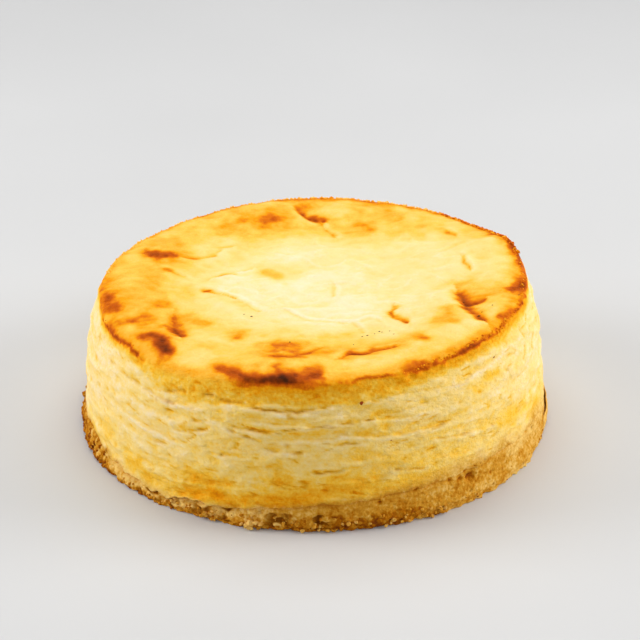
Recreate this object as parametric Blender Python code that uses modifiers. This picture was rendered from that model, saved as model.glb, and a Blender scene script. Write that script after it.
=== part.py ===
"""A tall baked cheesecake on a thin biscuit base, whole and uncut, as it stands when turned out of its tin.

Metres, +Z up.  The origin is on the flat underside, below the middle of the cake; -Y is its front.
Two bodies: the cheese filling, and the biscuit base that it was baked on.
Each is a turned body whose points are then moved by functions: the outline is a little out of round,
the top leans and sags, the skin is folded and dented, and the base is thicker on one side.
"""
import math
from collections import namedtuple

import bpy
from mathutils import Vector, noise

# Driving dimensions: a 20 cm springform tin, filled to about 6 cm.
TIN_RADIUS = 0.099          # the base filled the tin
FOOT_RADIUS = 0.0976        # filling, just above the base
RIM_RADIUS = 0.0893         # filling, at the top edge, after it shrank from the tin
RIM_HEIGHT = 0.0602         # top edge, where it neither rose nor slumped
BASE_THICKNESS = 0.0080     # biscuit base, below the middle of the cake
BASE_EDGE_HEIGHT = 0.0095   # top edge of the biscuit base, where it is neither thick nor thin
GAP = 0.0003                # between the two bodies

# How the round outlines are out of true: lobes counts the bulges, one of them at direction, in degrees
# from +X, and rise is a share of the radius.
Lobe = namedtuple("Lobe", "lobes direction rise")
TIN_OUTLINE = (Lobe(2, -90, 0.004),)
FOOT_OUTLINE = (Lobe(1, 0, 0.005), Lobe(2, -100, 0.012), Lobe(3, -30, 0.005))
RIM_OUTLINE = (Lobe(1, 180, 0.006), Lobe(2, 45, 0.010))

# Where an edge is higher or lower than elsewhere: direction and spread in degrees.
Swell = namedtuple("Swell", "direction spread rise")
RIM_SWELLS = (
    Swell(-10, 45, 0.0045),     # the right side rose highest,
    Swell(20, 12, 0.0025),      # with a peak towards the back
    Swell(-45, 20, 0.0015),     # and a shoulder towards the front
    Swell(-140, 30, -0.0050),   # the front left slumped
    Swell(140, 30, -0.0018),    # and the back left a little
)
BASE_SWELLS = (
    Swell(-35, 50, 0.0052),     # the base is thickest at the front right
    Swell(-130, 28, -0.0055),   # and thinnest at the front left
)

# Relief of the top.
EDGE_ROUNDING = 0.0034      # radius of the rounded top edge
LEAN_SHARE = 1.6            # how the edge's unevenness dies away towards the middle
RING_RISE = 0.0016          # puffed ring inside the edge
RING_PLACE = 0.82           # share of the rim radius
RING_WIDTH = 0.13
CENTRE_SAG = 0.0030         # the middle sank as it cooled
LUMP_HEIGHT = 0.0010        # slow unevenness of the skin
LUMP_SIZE = 0.022

# Relief of the side.
CREASE_DROP = 0.0090        # crease below the rim, where the browned skin ends
CREASE_DEPTH = 0.0010
CREASE_WIDTH = 0.0022
WANDER_SIZE = 0.045         # length of the slow up-and-down of the crease and layers round the cake
WANDER = 0.0035
FINE_WANDER_SIZE = 0.015
FINE_WANDER = 0.0016
LAYER_HEIGHT = 0.0105       # spacing of the sagging layers below it
LAYER_DEPTH = 0.00045
LAYER_WANDER = 2.0          # how many times more they wander than the crease
RELIEF_FADE = 0.08          # share of the filling's height over which that relief dies out below the rim
DRAWN_IN = ((1, 0.30), (2, 0.36), (6, 0.34))    # how the side narrows: powers of the height, their shares

# The biscuit base.
BASE_EDGE_CRUMBLE = 0.0007  # unevenness of its top edge
EDGE_CRUMB_SIZE = 0.010
BASE_SHELF = 0.93           # share of the foot radius outside which the base's top is level
THIN_EDGE = 0.0040          # height of its top edge where it is thinnest
SHELF_RECESS = 0.0022       # how far it sits in under the filling there
THICK_EDGE = 0.0100         # height of its top edge where it is thick
SHELF_LEDGE = 0.0002        # how far it stands out there
SKIRT_CRUMBLE = 0.0009      # unevenness of its side
SKIRT_BIAS = 0.25           # share of that unevenness by which the side is set in
CRUMB_SIZE = 0.0065
CRUMB_FLATNESS = 1.5        # crumbs are this many times longer than they are high
SKIRT = (                   # shares of the tin radius and of the thickness, from the shoulder down
    (0.990, 0.66), (1.000, 0.30), (0.996, 0.08), (0.982, 0.0), (0.55, 0.0), (0.0, 0.0),
)

# Mesh.
STEPS = 96                  # segments round the cake
TOP_RINGS = 15
EDGE_RINGS = 4
SIDE_RINGS = 11
BASE_RINGS = (0.0, 0.22, 0.48, 0.73, BASE_SHELF)    # shares of the foot radius, shared by both bodies
MERGE_DISTANCE = 0.00005
SHARP_ANGLE = math.radians(50.0)

Fold = namedtuple("Fold", "start end depth width")
FOLDS = (                   # creases in the skin of the top
    Fold((-0.009, 0.076), (0.002, 0.060), 0.0014, 0.0042),
    Fold((0.002, 0.060), (0.009, 0.046), 0.0008, 0.0034),
    Fold((-0.057, -0.026), (-0.054, -0.043), 0.0015, 0.0050),
    Fold((-0.045, -0.003), (-0.022, -0.019), 0.0011, 0.0038),
    Fold((0.059, -0.013), (0.066, -0.039), 0.0022, 0.0050),
    Fold((0.062, -0.025), (0.073, -0.021), 0.0008, 0.0042),
    Fold((0.031, -0.024), (0.037, -0.039), 0.0012, 0.0036),
    Fold((0.008, -0.068), (0.031, -0.059), 0.0013, 0.0040),
)

Blister = namedtuple("Blister", "centre radius rise")
BLISTERS = (                # or hollows, where the rise is below zero
    Blister((-0.062, -0.048), 0.011, 0.0020),
    Blister((-0.014, -0.080), 0.013, 0.0017),
    Blister((-0.033, -0.073), 0.010, 0.0012),
    Blister((-0.066, 0.036), 0.011, 0.0015),
    Blister((-0.020, 0.069), 0.010, 0.0014),
    Blister((-0.083, -0.010), 0.010, 0.0014),
    Blister((0.052, -0.030), 0.012, 0.0018),
    Blister((0.074, -0.034), 0.008, 0.0014),
    Blister((0.082, 0.028), 0.010, 0.0012),
    Blister((-0.040, 0.012), 0.016, -0.0012),
    Blister((0.020, -0.045), 0.016, -0.0010),
)

FILLING_COLOUR = (0.87, 0.64, 0.27, 1.0)
FILLING_ROUGHNESS = 0.50
BISCUIT_COLOUR = (0.42, 0.22, 0.07, 1.0)
BISCUIT_ROUGHNESS = 0.85


def waves(angle, outline):
    """1 plus the lobes of an outline."""
    return 1.0 + sum(lobe.rise * math.cos(lobe.lobes * (angle - math.radians(lobe.direction)))
                     for lobe in outline)


def ease(t):
    """0 to 1 with level ends."""
    t = min(1.0, max(0.0, t))
    return t * t * (3.0 - 2.0 * t)


def bell(distance, width):
    return math.exp(-(distance / width) ** 2)


def mix(a, b, t):
    return a + (b - a) * t


def distance_to_line(x, y, start, end):
    """Distance in plan from a point to a straight stretch."""
    dx, dy = end[0] - start[0], end[1] - start[1]
    along = ((x - start[0]) * dx + (y - start[1]) * dy) / (dx * dx + dy * dy)
    along = min(1.0, max(0.0, along))
    return math.hypot(x - start[0] - along * dx, y - start[1] - along * dy)


def swelling(angle, swells):
    """How much higher an edge is in one direction."""
    total = 0.0
    for swell in swells:
        away = (math.degrees(angle) - swell.direction + 180.0) % 360.0 - 180.0
        total += swell.rise * bell(away, swell.spread)
    return total


def base_edge_height(angle):
    """Height of the base's top edge, with the unevenness of pressed crumbs."""
    place = Vector((math.cos(angle), math.sin(angle), 0.0)) * (TIN_RADIUS / EDGE_CRUMB_SIZE)
    return BASE_EDGE_HEIGHT + swelling(angle, BASE_SWELLS) + BASE_EDGE_CRUMBLE * noise.noise(place)


def base_top(share, angle):
    """Height where filling and base meet, at a share of the foot radius."""
    return mix(BASE_THICKNESS, base_edge_height(angle), ease(share / BASE_SHELF))


def top_relief(x, y):
    """Folds, blisters and slow lumps of the skin."""
    inside = 1.0 - ease((math.hypot(x, y) / RIM_RADIUS - RING_PLACE) / (1.0 - RING_PLACE))
    relief = LUMP_HEIGHT * inside * noise.noise(Vector((x, y, 0.0)) / LUMP_SIZE)
    for fold in FOLDS:
        relief -= fold.depth * bell(distance_to_line(x, y, fold.start, fold.end), fold.width)
    for blister in BLISTERS:
        away = math.hypot(x - blister.centre[0], y - blister.centre[1])
        relief += blister.rise * bell(away, blister.radius)
    return relief


def top_height(x, y):
    """Height of the top: it follows the edge, is puffed just inside it and sags in the middle."""
    share = math.hypot(x, y) / RIM_RADIUS
    lean = share ** LEAN_SHARE * swelling(math.atan2(y, x), RIM_SWELLS)
    ring = RING_RISE * bell(share - RING_PLACE, RING_WIDTH)
    sag = CENTRE_SAG * ease(1.0 - share)
    return RIM_HEIGHT + lean + ring - sag + top_relief(x, y)


def side_radius(rise):
    """Radius of the filling at a share of its height: slightly barrelled, drawn in at the top."""
    return mix(FOOT_RADIUS, RIM_RADIUS, sum(share * rise ** power for power, share in DRAWN_IN))


def side_relief(angle, height, rim):
    """The crease below the rim, and the sagging layers of the side."""
    place = Vector((math.cos(angle), math.sin(angle), 0.0)) * TIN_RADIUS
    wander = WANDER * noise.noise(place / WANDER_SIZE) + FINE_WANDER * noise.noise(place / FINE_WANDER_SIZE)
    crease = -CREASE_DEPTH * bell(height - (rim - CREASE_DROP + wander), CREASE_WIDTH)
    below = ease((rim - CREASE_DROP - height) / LAYER_HEIGHT)
    layers = LAYER_DEPTH * math.sin(2 * math.pi * (height + LAYER_WANDER * wander) / LAYER_HEIGHT)
    return crease + layers * below


def filling_profile():
    """From the top's middle, out over the rounded edge, down the side, and in under the filling."""
    edge_centre = RIM_RADIUS - EDGE_ROUNDING
    points = [(edge_centre * i / TOP_RINGS, RIM_HEIGHT) for i in range(TOP_RINGS + 1)]
    for i in range(1, EDGE_RINGS + 1):
        turn = 0.5 * math.pi * i / EDGE_RINGS
        points.append((edge_centre + EDGE_ROUNDING * math.sin(turn),
                       RIM_HEIGHT - EDGE_ROUNDING * (1.0 - math.cos(turn))))
    side_top = RIM_HEIGHT - EDGE_ROUNDING
    for i in range(1, SIDE_RINGS + 1):
        height = mix(side_top, BASE_THICKNESS, i / SIDE_RINGS)
        rise = (height - BASE_THICKNESS) / (side_top - BASE_THICKNESS)
        points.append((side_radius(rise), height))
    points += [(share * FOOT_RADIUS, BASE_THICKNESS) for share in reversed(BASE_RINGS)]
    return points


def shape_filling(radius, angle, height):
    """Where a point of the turned filling really lies."""
    rise = (height - BASE_THICKNESS) / (RIM_HEIGHT - BASE_THICKNESS)
    outline = mix(waves(angle, FOOT_OUTLINE), waves(angle, RIM_OUTLINE), rise)
    rim = top_height(RIM_RADIUS * math.cos(angle), RIM_RADIUS * math.sin(angle))
    floor = base_top(radius / FOOT_RADIUS, angle)
    on_side = 0.0 < rise < 1.0
    out = radius * outline
    if on_side:
        out += side_relief(angle, mix(floor, rim, rise), rim) * ease((1.0 - rise) / RELIEF_FADE)
    x, y = out * math.cos(angle), out * math.sin(angle)
    return x, y, mix(floor, top_height(x, y), rise)


def base_profile():
    """From the middle of the base's top, out to its shoulder, down the skirt, and in under it."""
    points = [(share * FOOT_RADIUS, BASE_THICKNESS) for share in BASE_RINGS]
    points.append((FOOT_RADIUS, BASE_THICKNESS))
    points += [(out * TIN_RADIUS, up * BASE_THICKNESS) for out, up in SKIRT]
    return points


def shape_base(radius, angle, height):
    """Where a point of the turned base really lies: its skirt is ragged, its thin side sits further in."""
    rise = height / BASE_THICKNESS
    share = radius / FOOT_RADIUS
    out = radius * waves(angle, FOOT_OUTLINE)
    if share > BASE_SHELF:
        out = radius * waves(angle, TIN_OUTLINE)
        thick = ease((base_edge_height(angle) - THIN_EDGE) / (THICK_EDGE - THIN_EDGE))
        out += mix(-SHELF_RECESS, SHELF_LEDGE, thick) * rise
        place = Vector((out * math.cos(angle), out * math.sin(angle), height * CRUMB_FLATNESS)) / CRUMB_SIZE
        out += SKIRT_CRUMBLE * (noise.noise(place) - SKIRT_BIAS)
    top = base_top(share, angle) - GAP
    return out * math.cos(angle), out * math.sin(angle), rise * top


def turned(name, profile, shape, material, collection):
    """A closed turned body whose points are then moved by the shape function."""
    outline = bpy.data.meshes.new(name + "_profile")
    corners = [(radius, 0.0, height) for radius, height in profile]
    outline.from_pydata(corners, [(i, i + 1) for i in range(len(corners) - 1)], [])
    turning = bpy.data.objects.new(name + "_profile", outline)
    collection.objects.link(turning)
    screw = turning.modifiers.new("turn", 'SCREW')
    screw.axis = 'Z'
    screw.angle = 2.0 * math.pi
    screw.steps = STEPS
    screw.render_steps = STEPS
    screw.use_merge_vertices = True
    screw.merge_threshold = MERGE_DISTANCE

    bpy.context.view_layer.update()
    evaluated = turning.evaluated_get(bpy.context.evaluated_depsgraph_get())
    mesh = bpy.data.meshes.new_from_object(evaluated)
    bpy.data.objects.remove(turning)
    bpy.data.meshes.remove(outline)
    for vertex in mesh.vertices:
        x, y, height = vertex.co
        vertex.co = shape(math.hypot(x, y), math.atan2(y, x), height)
    mesh.name = name
    mesh.materials.clear()
    mesh.materials.append(material)
    mesh.shade_smooth()
    mesh.set_sharp_from_angle(angle=SHARP_ANGLE)

    body = bpy.data.objects.new(name, mesh)
    collection.objects.link(body)
    return body


def food_material(name, colour, roughness):
    material = bpy.data.materials.new(name)
    material.use_nodes = True
    shader = material.node_tree.nodes["Principled BSDF"]
    shader.inputs["Base Color"].default_value = colour
    shader.inputs["Roughness"].default_value = roughness
    shader.inputs["Metallic"].default_value = 0.0
    material.diffuse_color = colour
    return material


def make_filling(collection):
    material = food_material("baked_cheese", FILLING_COLOUR, FILLING_ROUGHNESS)
    return turned("cheese_filling", filling_profile(), shape_filling, material, collection)


def make_base(collection):
    material = food_material("pressed_biscuit", BISCUIT_COLOUR, BISCUIT_ROUGHNESS)
    return turned("biscuit_base", base_profile(), shape_base, material, collection)


def main():
    for old in list(bpy.data.objects):
        bpy.data.objects.remove(old)
    collection = bpy.data.collections.new("baked_cheesecake")
    bpy.context.scene.collection.children.link(collection)
    make_filling(collection)
    make_base(collection)


main()
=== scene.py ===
"""Looks of a baked cheesecake on its biscuit base: skin, scorch marks, folds, sagging side and crumbs.

Everything is in metres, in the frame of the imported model: +Z up, -Y the front, origin under the cake.
Only the tables of places on the cake are in millimetres, which their readers turn into metres.
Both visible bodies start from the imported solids' own surface, sampled by rays, and get finer relief on top.
"""

import itertools
import math
from collections import namedtuple

import bmesh
import bpy
import numpy as np
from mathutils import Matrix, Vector
from mathutils.bvhtree import BVHTree


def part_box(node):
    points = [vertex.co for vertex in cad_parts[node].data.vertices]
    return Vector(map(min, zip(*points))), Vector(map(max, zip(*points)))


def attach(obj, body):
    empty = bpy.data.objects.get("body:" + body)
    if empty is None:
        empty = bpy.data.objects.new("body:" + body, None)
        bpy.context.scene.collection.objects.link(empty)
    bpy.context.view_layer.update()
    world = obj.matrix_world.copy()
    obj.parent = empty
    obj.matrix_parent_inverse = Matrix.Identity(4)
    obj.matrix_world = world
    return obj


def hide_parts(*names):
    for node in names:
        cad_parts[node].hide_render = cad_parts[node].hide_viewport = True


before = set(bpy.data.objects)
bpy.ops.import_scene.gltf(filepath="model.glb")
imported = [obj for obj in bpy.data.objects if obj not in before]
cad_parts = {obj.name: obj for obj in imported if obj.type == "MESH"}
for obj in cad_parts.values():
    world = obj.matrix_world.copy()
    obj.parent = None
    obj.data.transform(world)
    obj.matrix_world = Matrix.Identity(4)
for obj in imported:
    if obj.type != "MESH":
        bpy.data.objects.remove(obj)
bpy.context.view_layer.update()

FILLING_LOW, FILLING_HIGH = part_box("cheese_filling")
BASE_LOW, BASE_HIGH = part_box("biscuit_base")
CAKE_RADIUS = 0.25 * (BASE_HIGH.x - BASE_LOW.x + BASE_HIGH.y - BASE_LOW.y)
CAKE_HEIGHT = FILLING_HIGH.z
FOOT_RADIUS = 0.25 * (FILLING_HIGH.x - FILLING_LOW.x + FILLING_HIGH.y - FILLING_LOW.y)
RIM_RADIUS = 0.902 * CAKE_RADIUS
SIDE_RADIUS = 0.5 * (RIM_RADIUS + FOOT_RADIUS)
MM = 0.001
MM_PER_DEGREE = math.radians(SIDE_RADIUS) / MM  # along the side
UP = np.array((0.0, 0.0, 1.0))
CLEAR = 0.2  # a distance well outside the cake, to cast from
WORD = 0xFFFFFFFF  # the largest number that the fixed random numbers are made from

# ---- meshes
AROUND = 640  # points round a full ring of the filling
BASE_AROUND = 1440  # and of the base
TOP_STEP = 0.00088  # spacing of the rings on the top
SIDE_STEP = 0.00057  # spacing of the rings on the side
BASE_SIDE_RINGS = 40
EDGE_ROUNDING = 0.0034
EDGE_RINGS = 7
TOP_RINGS = round((RIM_RADIUS - EDGE_ROUNDING) / TOP_STEP)
THINNING = ((0.012, 8), (0.028, 4), (0.056, 2))  # inside this radius a ring keeps every nth point
LOWEST = 0.0003  # the side starts this far above the underside
UNDERSIDE = (0.985, 0.93, 0.7, 0.35, 0.0)
FLUSH_REACH = 0.0045  # height over which the filling's foot runs flush into a thick base
RAGGED = 0.0032  # how far the filling's lower edge strays up and down
LEDGE_FILL = 0.0014  # how far the crumbs at the front left stand beyond the foot's mean
FOOT_SPILL = 0.0014  # and how much further at the floor
TUCK = 0.0016  # how far the base runs up behind that edge
TUCK_RINGS = ((0.96, 0.6), (0.98, 1.0), (0.99, 0.6))  # (share of the base's radius, share of TUCK)
FLOOR_AT, EDGE_AT = 0.97, 0.955  # shares of the foot's radius where the two bodies' heights are taken

# ---- browning of the top
# heat: 0 pale cream, 0.3 golden, 0.5 orange brown, 0.7 brown, 0.9 nearly black.
MARKS = (  # (width, browning, path)
    # the large scorch at the front edge
    (3.9, 0.5, (-36, -74.5), (-30, -80), (-22, -85), (-10, -86.5), (0, -83.5)),
    (2.8, 0.74, (-34.5, -76), (-30, -80.5), (-25, -84)),
    (3.2, 0.83, (-25, -85), (-19, -86.5), (-13, -87), (-8, -87)), (2.5, 0.93, (-17, -86), (-11, -86.5)),
    (2.5, 0.76, (-8, -87), (-3.5, -86.5), (0, -83.5)), (2.4, 0.64, (-13, -79), (-12, -84)),
    (2.3, 0.66, (-1, -81.5), (0, -84)), (1.6, 0.63, (-28, -84.5), (-20, -88), (-8, -89), (3, -88.5)),
    # the glossy blister at the left of the front
    (4.6, 0.48, (-66, -45.5), (-61.5, -50), (-57.5, -57)),
    (3.2, 0.74, (-65, -46), (-61, -50), (-58.5, -54), (-57, -58)), (2.6, 0.86, (-61, -51), (-58.5, -56)),
    # the crescent dent beside it
    (3.2, 0.52, (-57, -26.5), (-57, -35), (-54.5, -42)), (2.3, 0.66, (-56, -36), (-54, -43)),
    (2.3, 0.44, (-56, -25), (-51, -25)),
    # the left edge
    (4.6, 0.67, (-84.5, -14), (-83, -18), (-81.5, -23)), (3.4, 0.53, (-88, 6), (-87.5, -8), (-85.5, -22)),
    (2.2, 0.62, (-82.5, -33.5), (-81, -37)), (3.2, 0.6, (-79, -32), (-74, -32.5)),
    (3.0, 0.46, (-70, -37), (-67, -40)), (1.6, 0.44, (-73, -33), (-70, -35)),
    (4.0, 0.52, (-69, -27), (-66.5, -31)), (4.8, 0.47, (-64.5, -20), (-60, -18)),
    (3.2, 0.42, (-72, -16), (-69.5, -16.5)), (3.0, 0.42, (-71, 9), (-69, 8)),
    (5.5, 0.44, (-70, 3), (-68, -6)), (7.0, 0.34, (-66, -7), (-56, -7)),
    (5.0, 0.37, (-62, 20), (-54, 17)), (1.1, 0.52, (-62.5, 13.5), (-60.5, 12)),
    # the back left
    (3.2, 0.62, (-71, 28), (-66, 24.5), (-61.5, 25)), (2.5, 0.74, (-67.5, 25.5), (-64.5, 24.5)),
    (2.2, 0.48, (-61, 25), (-55.5, 24.5), (-50, 26)), (1.3, 0.3, (-50, 26), (-42.5, 29.5)),
    (7.0, 0.42, (-68, 38), (-60, 34)), (1.6, 0.32, (-40.5, 36.5), (-35.5, 38)),
    # the back
    (5.0, 0.42, (-42, 54.5), (-37, 56.5)), (4.2, 0.5, (-31, 61.5), (-29.5, 61)),
    (5.5, 0.45, (-21.5, 61), (-16, 63.5)), (3.3, 0.64, (-21.5, 61), (-18, 63)),
    (3.4, 0.36, (-26, 51), (-24, 51)), (4.5, 0.35, (-12, 52.5), (-8, 53)),
    (3.0, 0.48, (-8, 76.5), (-2, 76.5)), (1.6, 0.58, (-8, 73.5), (-3.5, 66.5), (0, 64)),
    (2.1, 0.64, (0, 64), (3.5, 62)), (1.0, 0.34, (3.5, 58), (7, 52.5), (9, 49.5)),
    (4.4, 0.49, (20.5, 57), (23.5, 52.5)), (3.0, 0.43, (14, 50), (22, 50)),
    (3.0, 0.4, (8.5, 60), (8, 56)), (6.0, 0.43, (33, 66), (36, 63)), (4.5, 0.38, (40, 53), (43, 48)),
    (2.5, 0.43, (19.5, 71), (20, 68)), (1.6, 0.27, (20, 45), (21, 44)),
    (1.3, 0.48, (58, 45.5), (60.5, 41)), (0.9, 0.34, (63, 17.5), (64, 12.5), (65, 6)),
    # inside the pale middle
    (3.6, 0.42, (-20, 14.5), (-16, 12)), (4.5, 0.23, (-26, 19), (-8, 15)),
    (1.3, 0.38, (-41, 9.5), (-36, 13), (-34, 13.5)), (1.1, 0.6, (-45, -2.5), (-43.5, -2.5)),
    (0.9, 0.38, (-42.5, -3), (-37.5, -6), (-32.5, -8.5)), (3.2, 0.25, (-40, -8), (-31, -15), (-25, -20)),
    (3.2, 0.46, (-47.5, -29.5), (-43.5, -31)), (2.8, 0.34, (-43, -31), (-38, -35.5)),
    (3.2, 0.5, (-29, -40.5), (-30.5, -46.5)), (0.9, 0.19, (8, 1), (8, -9)),
    (1.4, 0.52, (32.5, -20.5), (31, -24.5)), (1.7, 0.52, (31, -26), (33, -32.5), (37, -36.5)),
    (1.2, 0.22, (40.5, -32), (38, -41.5)),
    # the front middle
    (4.0, 0.58, (-14, -56), (-9, -57.5)), (4.0, 0.33, (6, -48), (12, -46)),
    (3.2, 0.45, (-19, -56.5), (-17.5, -57)), (3.4, 0.56, (-14, -67), (-9.5, -68), (-5, -64.5)),
    (2.3, 0.4, (-5, -64.5), (0, -59.5)), (6.5, 0.46, (-12, -60), (-3, -62)),
    (3.2, 0.58, (-13, -62.5), (-7, -63.5)), (1.5, 0.43, (10, -68.5), (13.5, -64)),
    (2.3, 0.64, (13.5, -64), (18.5, -63.5), (23, -61.5)),
    (2.3, 0.53, (23, -61.5), (29.5, -60.5), (32, -61)), (5.5, 0.42, (11, -66), (31, -60)),
    (3.0, 0.37, (8, -57), (8.5, -56.5)), (2.6, 0.54, (40, -56), (44, -58.5)),
    (3.0, 0.63, (36, -79.5), (38.5, -78.5), (43, -76.5)),
    # the deep fold on the right
    (4.4, 0.36, (58, -6), (64, -4), (67, -13)), (4.4, 0.54, (59.5, -15), (61.5, -23)),
    (3.4, 0.54, (61, -32), (64, -38), (65.5, -43)), (2.2, 0.58, (59.5, -17), (60.5, -25), (62, -29)),
    (2.0, 0.72, (63, -26), (67.5, -23.5)), (1.8, 0.63, (64.5, -40), (66, -44)),
    (3.4, 0.41, (68.5, -22.5), (74.5, -19)), (5.4, 0.46, (53, -42), (54.5, -33)),
    # the right edge
    (2.8, 0.66, (75.5, -40.5), (79.5, -37.5)), (4.0, 0.74, (81.5, -18), (84, -14), (86.5, -8)),
    (1.6, 0.6, (72, -51), (76.5, -43), (81, -34), (84.5, -24)),
    (3.2, 0.48, (75, 46), (80, 36), (84.5, 23), (86.5, 12), (87.5, 2)), (2.0, 0.6, (76, 44), (80.5, 33)),
    (2.2, 0.77, (80.5, 35), (83.5, 27), (85.5, 18), (87, 10)),
    (2.0, 0.66, (86.5, 10), (87.5, 2), (87, -8)),
)

PALER = (  # streaks of the pale middle that reach out into the gold
    (7.0, 0.18, (-50, 8), (-30, 14)), (5.0, 0.2, (-48, 27), (-36, 32)),
    (5.5, 0.21, (-52, -18), (-38, -22), (-26, -30)), (6.0, 0.24, (-46, -45), (-26, -50), (-10, -47)),
    (6.0, 0.27, (-52, -60), (-43, -66)), (6.0, 0.2, (58, -52), (70, -40)),
    (5.0, 0.27, (15, -75), (34, -72)), (4.5, 0.23, (30, -66), (50, -56)),
    (5.0, 0.2, (-48, 36), (-38, 42)), (4.0, 0.24, (75, 32), (79, 14), (80, 0)),
    (2.4, 0.33, (62.8, -29), (63.4, -31)),
)

# ---- relief of the top
CREASES = (  # (width, depth, height of the lip: left of the path if above 0, path)
    (1.3, 0.5, 0.5, (-45.5, -2), (-42.5, -2.5), (-37.5, -6), (-32.5, -8.5), (-27.5, -14.5), (-22, -19.5)),
    (1.6, 0.6, -0.35, (-8, 74), (-3.5, 66.5), (0, 64), (4, 61.5)),
    (1.0, 0.6, 0.4, (3.5, 60), (6, 54), (9, 49.5)),
    (2.4, 0.8, -0.4, (-57, -26), (-57, -35), (-54.5, -43)),
    (3.2, 1.1, -0.9, (59, -13), (60.5, -24), (62.5, -35), (66, -43)),
    (1.7, 0.5, -0.3, (63, -26), (67.5, -23.5)),
    (1.1, 0.8, 0.5, (32.5, -19.5), (31, -26), (33, -32.5), (37.5, -37)),
    (1.0, 0.4, -0.5, (-55.5, 24.5), (-50, 26), (-42.5, 29.5), (-40, 36.5), (-35.5, 38)),
    (1.0, 0.6, -0.6, (-42, 8.5), (-36.5, 13), (-34, 14), (-27, 18)),
    (0.9, 0.6, 0.4, (62.5, 19), (64, 12.5), (65, 5.5)), (1.1, 0.5, 0.4, (57.5, 47), (60.5, 40)),
    (1.0, 0.5, 0.3, (-63, 14), (-60, 11.5), (-54, 9)),
    (1.3, 0.8, 0.5, (10, -68.5), (13.5, -64.5), (18.5, -64), (23, -62), (31, -60.5)),
    (1.3, 0.7, 0.5, (-15, -68), (-9, -69), (-4, -65), (1, -60)),
    (0.9, 0.4, 0.5, (-12, -22), (-4, -29), (8, -33), (16, -34), (20, -43)),
    (0.9, 0.4, 0.4, (16, -34), (22, -31), (26, -35)), (0.9, 0.5, 0.4, (8, 1), (8, -9)),
)
RIM_LIP = (
    (34, -81.5), (40.5, -78), (45, -75), (52, -70.5), (58.5, -65), (62.5, -60.5), (68.5, -55),
    (73.5, -48.5), (75.5, -44.5), (80, -37), (84, -25), (85, -19),
)
RIM_TEAR = ((-86, -26), (-84.5, -30), (-81, -37), (-78.5, -42), (-73.5, -48), (-70.5, -54), (-67.5, -59.5))
RIM_STROKES = (  # (how far outwards, width, browning, rise, reach down the side, path)
    (1.0, 0.6, 0.68, 0.0007, 0.001,
     ((-9, -89), (1, -88.5), (12.5, -87.5), (20, -85), (26, -83.5), (34, -81.5))),
    (1.007, 0.6, 0.8, 0.001, 0.002, RIM_LIP),
    (1.003, 0.5, 0.76, -0.0008, 0.002, RIM_TEAR),
    (1.0, 1.4, 0.66, 0.0, 0.0026, ((-29, -84.5), (-20, -88), (-10, -89.5), (0, -89.5))),
)
SPECKS = (  # (x, y, radius) of black pinholes, as specks of painted shade, and of scorched specks
    (-28.5, -24, 0.4), (-25.5, -25.5, 0.65), (-9.5, -54, 0.5), (60.5, -23.5, 0.5), (65.5, -39.5, 0.8),
    (71.5, -32.5, 0.45), (67, -36.5, 0.4), (83, -21.5, 0.5), (19, -47.5, 0.45), (21, -46.5, 0.5),
    (26, -42.5, 0.5), (27, -43.5, 0.4), (30, -43.5, 0.45), (31.5, -48, 0.35), (15.5, -54.5, 0.35),
    (24, -45, 0.4),
)

# ---- relief and colour of the side
CUTS = (  # (width, depth, path in degrees round the cake and height)
    (0.75, 1.1, (-131, 47), (-124, 50), (-119, 51), (-112, 50.2), (-103, 50), (-93, 49.8), (-86, 51.2)),
    (0.6, 0.7, (-97, 42.5), (-91, 44), (-84, 44.4), (-76, 45.5)),
    (0.7, 0.7, (-152, 46.2), (-140, 45.5), (-129, 44.2), (-120, 44.8)),
    (0.7, 1, (-124, 34.5), (-120, 36.2), (-116, 38)), (0.7, 1.1, (-110, 39.8), (-104, 37.5)),
    (0.7, 1.1, (-101, 34), (-97, 32.7), (-93, 33)), (0.65, 0.9, (-131, 26.2), (-127, 27.5)),
    (0.7, 0.9, (-109, 41.5), (-98, 41.2)), (0.6, 0.9, (-90, 25.5), (-83, 26.8)),
    (0.5, 0.25, (-74, 47), (-62, 48.7)), (0.6, 0.7, (-60, 32.5), (-50, 30)),
    (0.6, 0.7, (-112, 29), (-106, 30)), (0.5, 0.25, (-86, 52.5), (-66, 53.5), (-50, 51.2)),
    (0.6, 0.7, (-120, 40), (-112, 43)), (0.6, 0.6, (-84, 36), (-78, 37)),
    (0.6, 0.7, (-71, 24), (-64, 22)), (0.6, 0.6, (-66, 36), (-58, 38)),
)
PATCHES = (  # golden patches: (degrees, height, length in degrees, height of it, browning)
    (-97, 20.5, 3.5, 2.8, 0.45), (-93, 13, 7, 4.5, 0.49), (-100, 8.5, 9, 4, 0.5), (-113, 12, 4, 5, 0.51),
    (-85, 18.5, 3, 3, 0.39), (-138, 12.5, 5, 4, 0.36), (-132, 10.5, 4, 3.5, 0.41), (-126, 8, 8, 4, 0.32),
    (-80, 20.5, 6, 3.5, 0.42), (-72, 29, 5, 3, 0.33), (-118, 18, 4, 3, 0.41), (-150, 18, 5, 5, 0.31),
    (-55, 24, 7, 5, 0.32), (-35, 28, 8, 5, 0.36), (-20, 20, 7, 6, 0.39), (-66, 18, 5, 3, 0.38),
    (-118.5, 9.5, 4, 5, 0.49), (-40, 48, 4, 2, 0.39), (-160, 10, 6, 5, 0.33),
)
SIDE_SPECKS = (  # (degrees, height, radius)
    (-78.5, 52, 0.9), (-38.5, 54.5, 0.5), (-72, 36.5, 0.4),
)
HOLES = (  # burst bubbles at the foot: (degrees, height, radius, depth)
    (-51, 12, 2.0, 1.6), (-54, 12.5, 1.3, 1.1), (-52.5, 15, 0.7, 0.9), (-57, 13.5, 1.1, 1.0),
    (-49.5, 15.5, 0.5, 0.6), (-66, 14, 0.8, 0.7), (-75, 11, 0.9, 0.8), (-44, 9, 0.6, 0.6),
)
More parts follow.
